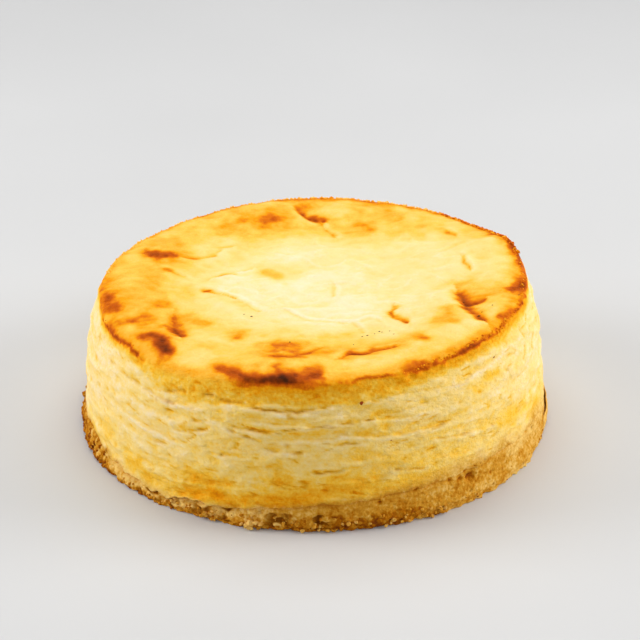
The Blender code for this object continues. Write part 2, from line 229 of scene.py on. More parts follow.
CAVES = (  # (degrees, spread, depth) where the base is broken away under the filling
    (-117, 2.2, 1.6), (-98, 3.0, 1.8), (-88.5, 2.0, 1.8), (-132, 4.0, 0.9), (-124, 2.0, 1.0),
    (-110.5, 1.4, 1.2),
)

# ---- levels
CORE_POWER = 2.1
CORE_SHARE = 0.8  # a mark is a soft core
HALO = 2.1  # in a glow this many times wider
PALE_CENTRE = (0.014, 0.001)
PALE_WIDENING = 1.33  # the pale middle is wider than deep
PALE_RADIUS = 0.034
PALE_FADE = 0.024
PALE_LEVEL = 0.065
PALE_SLOPE = 0.09  # it is this much browner at the back right
GOLD_LEVEL = 0.325
GOLD_SLOPE = 0.02
SIDE_LEVEL = 0.15
PALEST_SIDE = 0.09
SHADED_LEVEL = 0.1  # painted shade: the front of the side is this much browner
BAND_LEVEL = 0.4
FOOT_GOLD = 0.04
FOLD_SHADE = 0.08  # painted shade: how much browner the low side of a fold is
TOP_GROOVE_SHADE = 0.15  # painted shade: browning for each millimetre that a groove is deep, with painted light on ridges
# the same painted groove shade and ridge light, on the side
SIDE_GROOVE_SHADE = 0.16
UNDERSIDE_PAINTED_SHADE = 0.2  # painted shade: browner where the side faces down, for each unit of slope
LEDGE_PAINTED_LIGHT = 0.04  # painted light: paler where it faces up
SIDE_WARP = (  # (strength, size, seed) of the noise that bends the side's layers
    (0.003, (0.04, 0.022), 81), (0.0011, (0.013, 0.009), 82), (0.0003, (0.0045, 0.003), 83),
)
LAYER, FINE_LAYER = 0.0074, 0.0037  # height of the layers in the side
LEDGE_SHARE = 0.14  # share of a layer's spacing over which its ledge drops back
CUSTARD_SHINE = 0.04  # strength of reflections, where 0.5 is ordinary
BISCUIT_SHINE = 0.06
BISCUIT_GRAIN = 0.0012

# ---- zones round the cake, as (degrees, spread)
PACKED = (-32.0, 46.0)  # the base is pressed smooth
LEFT_FRONT = (-142.0, 26.0)  # it spills out in crumbs
LEDGE = (-144.0, 27.0)  # and reaches out as far as the filling
CREAMY = (-130.0, 23.0)  # it is pale
SOAKED = (-80.0, 24.0)  # its top is soaked and smooth
CRUST = (-175.0, 26.0)  # it is baked dark
BROWNER_BASE = ((0.24, -86.0, 20.0), (0.2, -58.0, 24.0), (0.1, -15.0, 25.0), (0.05, -35.0, 25.0))
RIM_BACK = (80.0, 34.0)  # the browned rim is wide
BAND_RIGHT = (-40.0, 26.0)  # the golden band under the rim is narrower
PALER_BAND = (-135.0, 16.0)
CALM_RIGHT, CALM_LEFT = (0.0, 40.0), (-170.0, 28.0)  # the side is smoother
FEW_CUTS = (-150.0, 22.0)
SHADED, PALE_LEFT = (-92.0, 42.0), (-155.0, 22.0)  # painted shade browns the side's front, and its left is paler
GOLD_FOOT, DEEP_FOOT = (-92.0, 38.0), (-74.0, 18.0)  # its foot is golden
TAN_FOOT = (-35.0, 50.0)  # its foot is full of biscuit
MANY_CRUMBS, FEW_CRUMBS = (-100.0, 48.0), (-25.0, 30.0)
SMALL_CRUMBS, LOW_CRUMBS = (-35.0, 35.0), (-132.0, 24.0)

# ---- crumbs
CRUMB_TRIES = 1100
BREAKS = 7  # flat breaks on each crumb
CLUMP_FIRST, FLAKE_FIRST, LIP_FIRST, BIT_FIRST, SPECK_FIRST = 1000, 2000, 2500, 3000, 5000  # first numbers
CLUMP_MOST, BITS_MOST = 40, 300  # numbers kept for each clump and each stretch of the rim
CLUMPS = (  # (degrees, spread, count, size, tone)
    (-104.5, 2.6, 16, 0.0016, 0.3), (-61.0, 4.5, 16, 0.0012, 0.4), (-88.0, 8.0, 18, 0.0011, 0.4),
    (-127.0, 6.0, 12, 0.001, 0.42), (-70.0, 5.0, 10, 0.001, 0.42), (-114.0, 4.0, 10, 0.0011, 0.45),
)
FLAKE_COUNT = 56
LARGE_FLAKES = ((177.0, 0.004, 0.002, 0.6), (174.0, 0.0052, 0.0014, 0.52))  # (degrees, height, size, tone)
RIM_BITS = (  # (from degrees, to degrees, count, palest tone, darkest tone, largest size)
    (50, 104, 240, 0.28, 0.52, 0.00115), (12, 50, 280, 0.44, 0.74, 0.00125),
    (104, 175, 110, 0.28, 0.46, 0.0008), (-12, 12, 60, 0.44, 0.72, 0.0006),
)
LIP_BITS = 130
TEAR_SHARE = 0.05  # of them that sit on the torn edge
PEEL_SPAN = (-13.0, 1.5)  # degrees
PEEL_RISE = 0.0011
PEEL_THICKNESS = 0.0006
PEEL_COLUMNS, PEEL_ROWS = 26, 10

# ---- colours, as on screen from 0 to 255
HEAT_COLOURS = (
    (0.0, (252, 232, 192)), (0.12, (254, 223, 154)), (0.24, (254, 215, 128)), (0.36, (253, 198, 80)),
    (0.48, (243, 161, 15)), (0.58, (224, 120, 8)), (0.68, (196, 88, 5)), (0.8, (152, 62, 4)),
    (0.9, (112, 44, 5)), (1.0, (66, 28, 6)),
)
SIDE_TINTS = (  # (browning, tint) of the side against the top
    (0.1, (0.98, 0.99, 1.04, 1.0)), (0.25, (0.98, 0.98, 0.8, 1.0)), (0.42, (1.0, 0.99, 0.5, 1.0)),
)
# painted shade in cuts, tears, pits and creases
CUT_SHADE_COLOUR = (196, 128, 4)
BAKE_COLOURS = (
    (0.0, (250, 212, 118)), (0.22, (238, 194, 106)), (0.42, (213, 152, 45)), (0.62, (182, 109, 3)),
    (0.8, (136, 66, 8)), (1.0, (70, 34, 4)),
)
# painted shade in the gaps, pores and caves of the biscuit
HOLLOW_SHADE_COLOUR = (98, 50, 4)
SPECK_COLOURS = ((0.84, (186, 80, 26)), (0.98, (38, 22, 12)))
FLOOR_COLOURS = ((0.3, (0.6, 0.6, 0.6, 1.0)), (0.7, (0.64, 0.64, 0.64, 1.0)))  # linear

# ---- stage
FLOOR_SIZE = 8.0
WORLD_STRENGTH = 0.3
SOFTBOXES = (  # (name, place, width and depth, power in watts)
    ("above", (0.0, 0.4, 1.1), (1.1, 0.9), 7.0),
    ("left", (-1.25, 0.05, 0.55), (0.7, 0.8), 11.0),
    ("right", (1.25, 0.05, 0.55), (0.7, 0.8), 12.2),
    ("front", (0.1, -1.4, 1.0), (0.9, 0.6), 4.5),
)
CAMERA_ELEVATION = 27.4  # degrees
CAMERA_DISTANCE = 0.9
CAMERA_AIM = 0.03  # height that it is aimed at
CAMERA_LENS = 120.0
CAMERA_SHIFT = (0.0091, 0.0413)


# ---- small tools
def ease(t):
    """0 to 1 with level ends."""
    t = unit(t)
    return t * t * (3.0 - 2.0 * t)


def unit(value):
    return np.clip(value, 0.0, 1.0)


def bell(distance, width):
    return np.exp(-(distance / width) ** 2)


def mix(a, b, t):
    return a + (b - a) * t


# ---- noise
def scatter(ix, iy, iz, seed):
    """A fixed number from 0 to 1 for each point of a lattice."""
    code = (ix * 73856093) ^ (iy * 19349663) ^ (iz * 83492791) ^ (seed * 2654435761)
    for shift, factor in ((15, 2246822519), (13, 3266489917)):
        code &= WORD
        code = (code ^ (code >> shift)) * factor
    code &= WORD
    return (code ^ (code >> 16)) / WORD


def in_cells(points, size):
    """Points in units of size, and their cells. size is one number, (level, upright) or (x, y, z)."""
    size = np.atleast_1d(np.asarray(size, float))
    place = points / (size[[0, 0, 1]] if len(size) == 2 else size)
    return place, np.floor(place).astype(np.int64)


def around_cell(cell, steps):
    """The lattice points a few steps from each point's cell, each with its steps along x, y and z."""
    for step in itertools.product(steps, repeat=3):
        yield step, [cell[..., k] + step[k] for k in range(3)]


def noise(points, size, seed=0):
    """Smooth noise, about -1 to 1, with lumps about size across."""
    place, cell = in_cells(points, size)
    part = place - cell
    weight = part * part * part * (part * (part * 6.0 - 15.0) + 10.0)
    total = 0.0
    for step, corner in around_cell(cell, (0, 1)):
        slope, share = 0.0, 1.0
        for k in range(3):
            slope = slope + (2.0 * scatter(*corner, 3 * seed + k) - 1.0) * (part[..., k] - step[k])
            share = share * (weight[..., k] if step[k] else 1.0 - weight[..., k])
        total = total + slope * share
    return 1.9 * total


def layers(points, *rows):
    """Noise of several sizes added up. A row is (strength, size, seed)."""
    return sum(strength * noise(points, size, seed) for strength, size, seed in rows)


def fractal(points, size, octaves, seed):
    size = np.asarray(size, float)
    return layers(points, *((0.5 ** k, size * 0.5 ** k, seed + k) for k in range(octaves)))


def cells(points, size, seed):
    """Distance to the nearest of scattered points, in units of size, and a fixed number for that point."""
    place, cell = in_cells(points, size)
    best = np.full(points.shape[:-1], 9.0)
    which = np.zeros(points.shape[:-1])
    for _, corner in around_cell(cell, (-1, 0, 1)):
        away = sum((corner[k] + scatter(*corner, seed + 11 * k) - place[..., k]) ** 2 for k in range(3))
        nearer = away < best
        best = np.where(nearer, away, best)
        which = np.where(nearer, scatter(*corner, seed + 57), which)
    return np.sqrt(best), which


def warped(points, reach, size, seed):
    """Points pushed about by noise, so that what is drawn round them gets a natural outline."""
    return points + reach * np.stack([noise(points, size, seed + k) for k in (0, 5, 9)], -1)


def to_path(x, y, path):
    """Distance in plan to a path, and which side of it a point lies on: positive to its left."""
    nearest = np.full(x.shape, 9000.0)
    side = np.zeros(x.shape)
    for (start_x, start_y), (end_x, end_y) in zip(path, path[1:]):
        dx, dy = end_x - start_x, end_y - start_y
        from_x, from_y = x - start_x, y - start_y
        along = np.clip((from_x * dx + from_y * dy) / (dx * dx + dy * dy), 0.0, 1.0)
        away = np.hypot(from_x - along * dx, from_y - along * dy)
        nearer = away < nearest
        nearest = np.where(nearer, away, nearest)
        side = np.where(nearer, dx * from_y - dy * from_x, side)
    return nearest, side


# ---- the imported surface
def tree_of(piece):
    """A tree to cast rays at an object's mesh with."""
    points = [vertex.co.copy() for vertex in piece.data.vertices]
    return BVHTree.FromPolygons(points, [tuple(face.vertices) for face in piece.data.polygons])


def cast(tree, starts, aims):
    """Where a ray from each start along its aim first meets the surface."""
    hits = np.array(starts, float)
    for place in np.ndindex(hits.shape[:-1]):
        hit = tree.ray_cast(Vector(starts[place]), Vector(aims[place]))[0]
        if hit:
            hits[place] = hit
    return hits


def spokes(count):
    """The level direction outwards at each of a number of places round the cake."""
    turns = np.linspace(-math.pi, math.pi, count, endpoint=False)
    return np.stack([np.cos(turns), np.sin(turns), np.zeros(count)], axis=-1)


def top_points(tree, out, radius, up=1.0):
    """The surface seen from above, or from below with up = -1, at a radius along each spoke."""
    starts = out * radius[:, None] + UP * (up * CLEAR)
    return cast(tree, starts, np.broadcast_to(-up * UP, starts.shape))


def side_points(tree, out, height):
    """The surface seen from outside, at a height above each spoke."""
    return cast(tree, out * CLEAR + UP * height[:, None], -out)


def level_radius(points):
    return np.hypot(points[..., 0], points[..., 1])


def smooth_rings(rings, across, along):
    """Rounds off the facets of the sampled surface: across is in rings, along in points of a ring."""
    for axis, reach, edges in ((1, along, "wrap"), (0, across, "edge")):
        weights = np.exp(-0.5 * (np.arange(-2 * reach, 2 * reach + 1) / reach) ** 2)
        weights /= weights.sum()
        widths = [(0, 0)] * rings.ndim
        widths[axis] = (2 * reach, 2 * reach)
        padded = np.pad(rings, widths, mode=edges)
        count = rings.shape[axis]
        rings = sum(w * np.take(padded, range(k, k + count), axis=axis) for k, w in enumerate(weights))
    return rings


def raised(rings, relief):
    """Rings that run from the top outwards and down, moved along their normals."""
    along = np.roll(rings, -1, axis=1) - np.roll(rings, 1, axis=1)
    normal = np.cross(np.gradient(rings, axis=0), along)
    normal /= np.maximum(np.linalg.norm(normal, axis=-1, keepdims=True), 1e-12)
    normal[0] = UP
    return rings + normal * relief[..., None]


# ---- meshes
def put(thing):
    bpy.context.scene.collection.objects.link(thing)
    return thing


def piece_from(name, points, faces, values, material, flat=False):
    """A mesh piece that holds a number for each point under each name in values."""
    mesh = bpy.data.meshes.new(name)
    mesh.from_pydata([tuple(point) for point in points], [], faces)
    for key, numbers in values.items():
        layer = mesh.attributes.new(key, 'FLOAT', 'POINT')
        layer.data.foreach_set("value", np.asarray(numbers, np.float32))
    mesh.materials.append(material)
    if flat:
        mesh.shade_flat()
    else:
        mesh.shade_smooth()
    return put(bpy.data.objects.new(name, mesh))


def faces_between(upper, lower):
    """Faces between two rings of point numbers, which are as long as each other or one twice the other."""
    few, many = sorted((upper, lower), key=len)
    faces = []
    for j in range(len(few)):
        k = (j + 1) % len(few)
        if len(few) == len(many):
            faces.append((few[j], many[j], many[k], few[k]))
        else:
            start, middle, end = many[2 * j], many[2 * j + 1], many[2 * k]
            faces += [(few[j], start, middle), (few[j], middle, few[k]), (few[k], middle, end)]
    return faces if few is upper else [face[::-1] for face in faces]


def body_from_rings(name, rings, strides, values, material):
    """A closed mesh from rings between two poles. With stride 2 a ring keeps every second point."""
    points, loops = [rings[0].mean(axis=0), rings[-1].mean(axis=0)], []
    kept = {key: [data[0].mean(), data[-1].mean()] for key, data in values.items()}
    for i in range(1, len(rings) - 1):
        ring = rings[i][::strides[i]]
        loops.append(range(len(points), len(points) + len(ring)))
        points.extend(ring)
        for key, data in values.items():
            kept[key].extend(data[i][::strides[i]])
    faces = []
    for upper, lower in zip(loops, loops[1:]):
        faces += faces_between(upper, lower)
    for pole, loop, step in ((0, loops[0], 1), (1, loops[-1], -1)):
        faces += [(pole, loop[j], loop[(j + step) % len(loop)]) for j in range(len(loop))]
    return piece_from(name, points, faces, kept, material)


# ---- the biscuit, wherever it shows
def direction(points):
    """Each point's direction round the cake, in degrees from +X."""
    return np.degrees(np.arctan2(points[..., 1], points[..., 0]))


def toward(turn, degrees, spread):
    """1 in one direction round the cake, falling off to either side of it."""
    return bell((turn - degrees + 180.0) % 360.0 - 180.0, spread)


def biscuit_form(points):
    """Crumb relief of pressed biscuit, how baked it is, and how much painted shade each place has between
    crumbs and in pores.
    """
    turn, height = direction(points), points[..., 2]
    packed, left_front = toward(turn, *PACKED), toward(turn, *LEFT_FRONT)
    crumbly = 1.0 - 0.82 * packed
    big, big_id = cells(warped(points, 0.001, 0.003, 101), 0.003, 102)
    small, small_id = cells(warped(points, 0.0004, 0.0012, 113), 0.0014, 103)
    relief = crumbly * (0.0007 * (0.25 - big ** 2) + 0.00045 * (0.25 - small ** 2))
    relief += 0.0005 * crumbly * fractal(points, 0.006, 3, 104) + 0.0002 * noise(points, 0.0011, 105)
    pore, pore_id = cells(points, 0.0042, 106)
    pore = bell(pore, 0.12 + 0.1 * pore_id) * (pore_id < 0.55) * (0.35 + 0.65 * packed)
    fringe = bell(height - 0.0004, 0.0009) * packed * (1.0 + 0.7 * noise(points, 0.004, 107))
    relief += fringe * (0.0009 + 0.001 * noise(points, 0.0024, 99)) - 0.0006 * pore
    # painted shade between crumbs and in pores
    hollow_shade = (big - 0.62 + 0.8 * (small - 0.66)) * crumbly + 0.8 * pore

    low = 1.0 - ease((height - 0.0004) / mix(0.0045, 0.0028, left_front))
    bake = 0.22 + 0.26 * low * (1.0 - packed) + layers(points, (0.14, 0.01, 108), (0.1, 0.003, 100))
    bake += (1.0 - 0.65 * packed) * (0.3 * (big_id - 0.5) + 0.24 * (small_id - 0.5))
    bake += sum(browner * toward(turn, *zone) for browner, *zone in BROWNER_BASE)
    bake += left_front * (0.1 + 0.03 * low + 0.05 * noise(points, 0.0055, 115))
    bake -= 0.12 * packed * ease((height - 0.008) / 0.005)
    creamy = toward(turn, *CREAMY) * (1.0 - low)
    soaked = toward(turn, *SOAKED) * ease((height - 0.0056) / 0.0024)
    bake = mix(bake, 0.19 + 0.12 * noise(points, 0.004, 115), 0.8 * creamy)
    bake = mix(bake, 0.44 + 0.08 * noise(points, 0.003, 100), 0.75 * soaked)
    bake += 0.31 * toward(turn, *CRUST) - 0.22 * fringe
    hollow_shade *= (1.0 - 0.9 * creamy) * (1.0 - 0.8 * soaked)
    relief *= (1.0 - 0.5 * creamy) * (1.0 - 0.5 * soaked)
    ragged = MM * (1.0 + 0.3 * noise(points, 0.0022, 96))
    for degrees, level, radius, depth in HOLES:
        away = np.hypot(np.radians(turn - degrees) * SIDE_RADIUS, height - level * MM)
        sunk = bell(away, radius * ragged)
        relief -= depth * MM * sunk
        bake = mix(bake, 0.8, sunk)
    return relief, unit(bake), unit(hollow_shade)


# ---- the filling
def filling_rings():
    """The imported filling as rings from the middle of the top, over the edge, down the side and in below.

    Returns the rings, how much of each counts as side, each point's depth below the rim and its lift above
    the foot, and how many of the rings show.
    """
    tree, base_tree = (tree_of(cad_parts[node]) for node in ("cheese_filling", "biscuit_base"))
    out = spokes(AROUND)
    full = np.ones(AROUND)
    rim_height = top_points(tree, out, (RIM_RADIUS - 1.5 * EDGE_ROUNDING) * full)[:, 2]
    inner = level_radius(side_points(tree, out, rim_height - EDGE_ROUNDING)) - EDGE_ROUNDING
    rim_height = top_points(tree, out, inner)[:, 2]
    floor = top_points(tree, out, FLOOR_AT * FOOT_RADIUS * full, -1.0)[:, 2]
    side_top = rim_height - EDGE_ROUNDING

    rings = [top_points(tree, out, inner * i / TOP_RINGS) for i in range(TOP_RINGS + 1)]
    sideness = [0.0] * len(rings)
    arc_centre = out * inner[:, None] + UP * side_top[:, None]
    for i in range(1, EDGE_RINGS + 1):
        turn = 0.5 * math.pi * i / (EDGE_RINGS + 1)
        rings.append(cast(tree, arc_centre, math.sin(turn) * out + math.cos(turn) * UP))
        sideness.append(ease(i / (EDGE_RINGS + 1)))
    steps = round((side_top - floor).mean() / SIDE_STEP)
    rings += [side_points(tree, out, mix(side_top, floor + LOWEST, i / steps)) for i in range(steps + 1)]
    shown = len(rings)
    outer = level_radius(rings[-1])
    rings += [top_points(tree, out, share * outer, -1.0) for share in UNDERSIDE]
    sideness = np.array(sideness + [1.0] * (len(rings) - len(sideness)))
    rings = np.array(rings)
    rings[:shown] = smooth_rings(rings[:shown], 2, 3)
    depth = np.maximum(rim_height[None] - rings[..., 2], 0.0) * (sideness > 0.0)[:, None]
    lift = rings[..., 2] - floor[None]

    # The foot runs flush into the base where that is thick, and its lower edge strays up and down.
    shoulder = level_radius(side_points(base_tree, out, floor - 0.0016))
    thick = ease((floor - 0.0055) / 0.0035)
    near = ease(1.0 - lift / FLUSH_REACH) * (sideness == 1.0)[:, None]
    near[shown:] = near[shown - 1]
    pull = mix(1.0, shoulder[None] / np.maximum(level_radius(rings), 1e-6), near * thick[None])
    pull[shown:] = pull[shown - 1]
    rings[..., :2] *= pull[..., None]
    stray = RAGGED * layers(out * SIDE_RADIUS, (0.7, 0.0065, 31), (0.4, 0.0036, 32)) * mix(1.0, 0.5, thick)
    rings[..., 2] += near * np.maximum(stray, 0.0006 - floor)[None]
    return rings, sideness, depth, lift, shown


def in_plan(points):
    return points[..., 0] / MM, points[..., 1] / MM


def add_mark(heat, away, level):
    """Browns towards a level round a mark, and leaves darker places as they are. away is in its widths."""
    glow = CORE_SHARE * np.exp(-away ** CORE_POWER) + (1.0 - CORE_SHARE) * bell(away, HALO)
    return heat + np.maximum(level - heat, 0.0) * glow


def top_heat(points):
    """Browning of the top, seen in plan."""
    loose = warped(points, 0.006, 0.022, 41)
    away = np.hypot((loose[..., 0] - PALE_CENTRE[0]) / PALE_WIDENING, loose[..., 1] - PALE_CENTRE[1])
    golden = GOLD_LEVEL - GOLD_SLOPE * np.cos(np.radians(direction(points)))
    golden = golden * (1.0 + layers(points, (0.2, 0.016, 43), (0.09, 0.007, 44)))
    pale = PALE_LEVEL + PALE_SLOPE * ease((points[..., 0] + points[..., 1] + 0.01) / 0.08)
    heat = mix(pale, golden, ease((away - PALE_RADIUS) / PALE_FADE))
    heat = heat + layers(points, (0.045, (0.024, 0.015, 0.02), 45), (0.018, (0.007, 0.02), 42))
    x, y = in_plan(warped(warped(points, 0.0015, 0.008, 46), 0.0006, 0.003, 47))
    soft = 1.0 + layers(points, (0.26, 0.006, 48), (0.12, 0.0022, 49))
    for width, level, *path in PALER:
        away, _ = to_path(x, y, path)
        heat = heat - np.maximum(heat - level, 0.0) * bell(away, width)
    for width, level, *path in MARKS:
        away, _ = to_path(x, y, path)
        heat = add_mark(heat, away / width * soft, level)
    uneven = layers(points, (0.07, 0.0046, 40), (0.06, 0.0017, 39))
    return unit(heat + uneven * ease((heat - 0.32) / 0.3))


def rim_patches(points):
    """How wide the browned rim is from place to place, against its mean."""
    return 1.0 + layers(points, (0.4, 0.011, 51), (0.3, 0.0035, 52))


def rim_heat(points, heat, edge):
    """The browned rim: a golden line all round, wider at the back. edge is the distance from the rim."""
    patchy = rim_patches(points)
    heat = add_mark(heat, edge / (0.0022 * patchy), 0.44)
    back = toward(direction(points), *RIM_BACK)
    return unit(add_mark(heat, edge / (0.0038 * back * patchy + 1e-6), 0.56))


def rim_lips(points, depth, heat, relief):
    """Adds the dark lip at the front right of the rim and the torn edge at its left, over the edge."""
    drawn = warped(warped(points, 0.0007, 0.006, 53), 0.0006, 0.0018, 54)
    patchy = rim_patches(points)
    over = 1.0 - ease((depth - 0.004) / 0.0022)
    bumpy = over * (0.6 + 0.7 * noise(points, 0.003, 67))
    stray = 0.0006 * noise(points, 0.003, 55)
    for outwards, width, level, rise, reach, path in RIM_STROKES:
        thin = 1.0 - ease((depth - reach - stray) / 0.0012)
        away, _ = to_path(*in_plan(drawn / outwards), path)
        browned = add_mark(heat, away / (2.0 * width * patchy), 0.47)
        heat = mix(mix(heat, browned, over), add_mark(browned, away / (width * patchy), level), thin)
        relief = relief + rise * bumpy * bell(away, 1.1)
    return heat, relief


def top_relief(points, heat):
    """Fine relief of the top, the painted shade in its deepest lines, and the painted shade and light of its
    folds.
    """
    x, y = in_plan(warped(points, 0.0008, 0.006, 61))
    relief, line, shade = np.zeros((3, *x.shape))
    for width, depth, lip, *path in CREASES:
        away, side = to_path(x, y, path)
        on_lip = side * lip > 0.0
        relief -= 0.5 * depth * MM * bell(away, width)
        relief += 0.8 * abs(lip) * MM * bell(away - 1.5 * width, 1.3 * width) * on_lip
        # painted shade in the crease, darker the deeper it is
        line = np.maximum(line, 0.15 * depth * bell(away, 0.7 * width))
        # painted shade on the low side of the fold and painted highlight on its raised lip
        shade += FOLD_SHADE * min(depth, 1.0) * np.exp(-away / 3.0) * ~on_lip
        shade -= 0.8 * FOLD_SHADE * abs(lip) * bell(away - 1.6 * width, 1.4 * width) * on_lip
    bent = warped(points, 0.003, 0.012, 68)
    skin = 0.0007 * noise(points, (0.026, 0.012, 0.02), 62)
    skin += 0.00045 * (1.0 - np.abs(noise(bent, (0.019, 0.011, 0.02), 63))) ** 8
    wrinkles = (1.0 - np.abs(noise(bent, (0.011, 0.006, 0.02), 69))) ** 7
    skin += 0.00026 * wrinkles * ease(0.5 + noise(points, 0.012, 70))
    relief += skin * (1.0 - 0.65 * ease((heat - 0.12) / 0.25))
    relief += layers(points, (0.00042, 0.009, 64), (0.00015, (0.0052, 0.0034, 0.02), 65))
    relief += ease((heat - 0.45) / 0.25) * (0.00016 * noise(points, 0.003, 66) - 0.0001)
    return relief, line, shade + painted_groove_shade(relief, TOP_GROOVE_SHADE)


def painted_groove_shade(relief, strength):
    """Painted shade, browner in the grooves of a relief, and painted light, paler on its ridges."""
    sunk = (smooth_rings(relief, 3, 4) - relief) / MM
    return np.clip(strength * np.where(sunk > 0.0, 1.8, 0.8) * sunk, -0.06, 0.14)


def shingle(height, spacing):
    """Saw-tooth over the height: it leans outwards going up, to a ledge, and is recessed above it."""
    phase = np.mod(height / spacing, 1.0)
    rise = np.maximum(phase - LEDGE_SHARE, 0.0) / (1.0 - LEDGE_SHARE)
    return np.where(phase < LEDGE_SHARE, 1.0 - 2.0 * ease(phase / LEDGE_SHARE), 2.0 * rise ** 1.7 - 1.0)


def side_form(points, depth, lift):
    """Fine relief of the side, the painted shade in its cuts, tears and pits, its browning, and how much
    biscuit shows at its foot.
    """
    turn, height = direction(points), points[..., 2]
    warp = layers(points, *SIDE_WARP)
    facing = ease((turn + 146.0) / 20.0) * np.where(turn > -99.0, bell(turn + 99.0, 44.0), 1.0)
    facing = np.maximum(facing, 0.45 * toward(turn, *BAND_RIGHT))
    band = depth - mix(0.0026, 0.0094, facing) + 0.5 * warp + 0.0008 * noise(points, 0.005, 91)
    bare = ease(band / mix(0.0032, 0.0014, facing))  # 0 in the golden band under the rim, 1 below it
    band = 1.0 - bare
    calm = 1.0 - np.maximum(0.55 * toward(turn, *CALM_RIGHT), 0.3 * toward(turn, *CALM_LEFT))

    strength = ease(noise(points, (0.034, 0.012), 84) + 0.4)
    finer = ease((noise(points, (0.017, 0.007), 85) + 0.3) / 0.9)
    relief = 0.00065 * strength * shingle(height + warp, LAYER) * bare
    relief += 0.00014 * finer * shingle(height + 1.4 * warp + 0.0011, FINE_LAYER) * bare
    relief += 0.0004 * fractal(points, (0.008, 0.0036), 3, 86) - 0.00045 * band * facing
    relief += 0.0002 * noise(points, (0.0022, 0.0014), 109)
    relief *= calm
    tear = bell(noise(points + UP * 1.2 * warp[..., None], (0.012, 0.003), 110), 0.1)
    tear = tear * ease((noise(points, (0.0065, 0.0045), 111) - 0.2) / 0.25) * (1.0 - 0.6 * band)
    torn = ease((noise(points + 0.5 * warp[..., None], (0.022, 0.008), 112) - 0.12) / 0.1) * bare
    relief -= 0.0003 * tear + 0.00035 * torn

    # painted shade in tears, cuts, pits and slits, and painted highlight on the lip below each cut
    dark, painted_lip_light = 0.38 * tear * calm, np.zeros(height.shape)
    drawn = (height + 0.3 * warp + 0.0005 * noise(points, 0.0035, 87)) / MM
    broken = np.clip(0.6 + 1.1 * noise(points, (0.0055, 0.004), 88), 0.0, 1.1)
    for width, sunk, *path in CUTS:
        away, side = to_path(turn * MM_PER_DEGREE, drawn, [(at * MM_PER_DEGREE, up) for at, up in path])
        relief -= 0.8 * sunk * MM * broken * bell(away, width)
        relief -= 0.3 * sunk * MM * np.exp(-away / 2.6) * (side > 0.0)
        relief += 0.4 * sunk * MM * np.exp(-away / 2.2) * (side < 0.0)
        dark = np.maximum(dark, min(0.85, sunk) * broken * bell(away, 0.6 * width))
        # painted highlight on the lip below the cut
        painted_lip_light = np.maximum(painted_lip_light, bell(away - 1.6 * width, width) * (side < 0.0))
    near, which = cells(points, (0.008, 0.0055), 89)
    pit = bell(near, 0.05 + 0.09 * np.mod(7.0 * which, 1.0)) * (which < 0.26)
    near, which = cells(points + 0.3 * warp[..., None], (0.015, 0.0042), 90)
    slit = bell(near, 0.1) * (which < 0.28) * bare
    relief -= 0.00045 * calm * (pit + slit)
    dark = np.maximum(dark, calm * np.maximum(0.7 * pit, 0.95 * slit))

    # painted shade browns the front of the side
    heat = SIDE_LEVEL + SHADED_LEVEL * toward(turn, *SHADED) - 0.02 * toward(turn, *PALE_LEFT)
    heat = heat + layers(points, (0.04, (0.018, 0.007), 92), (0.04, 0.0045, 93), (0.03, 0.0019, 95))
    # painted shade in the side's grooves and painted light on its ridges
    heat = heat - 0.045 * torn + 0.1 * tear + painted_groove_shade(relief, SIDE_GROOVE_SHADE)
    # painted shade where the side faces down and painted light where it faces up
    lean = np.gradient(smooth_rings(relief, 1, 2), SIDE_STEP, axis=0)
    heat = heat + UNDERSIDE_PAINTED_SHADE * np.clip(-lean, 0.0, 0.8) - LEDGE_PAINTED_LIGHT * np.clip(lean, 0.0, 0.6)
    foot = toward(turn, *GOLD_FOOT) + 1.5 * toward(turn, *DEEP_FOOT)
    heat = heat + FOOT_GOLD * bell(lift - 0.004, 0.0065) * foot
    mottled = BAND_LEVEL - 0.06 * toward(turn, *PALER_BAND)
    mottled = mottled + layers(points, (0.07, 0.004, 97), (0.11, 0.0016, 98))
    heat = mix(heat, mottled, band * mix(0.75, 1.0, facing)) - 0.035 * painted_lip_light
    ragged = 1.15 + 0.575 * noise(points, 0.004, 99)
    for degrees, level, along, up, browning in PATCHES:
        blot = np.hypot((turn - degrees) / along, (height + 0.5 * warp - level * MM) / (up * MM))
        heat = add_mark(heat, blot * ragged, browning)
    heat = add_mark(heat, depth / 0.0015, 0.54)

    reach = mix(0.0008, 0.0065, toward(turn, *TAN_FOOT)) + 0.002 * toward(turn, *LEFT_FRONT)
    reach = reach * (1.0 + 0.45 * noise(points, 0.008, 94))
    tan = 1.0 - ease((lift - 0.1 * reach) / np.maximum(1.2 * reach, 1e-5))
    dark = dark * (1.0 - 0.5 * toward(turn, *FEW_CUTS))
    return relief, unit(dark), np.clip(heat, PALEST_SIDE, 1.0), unit(tan)


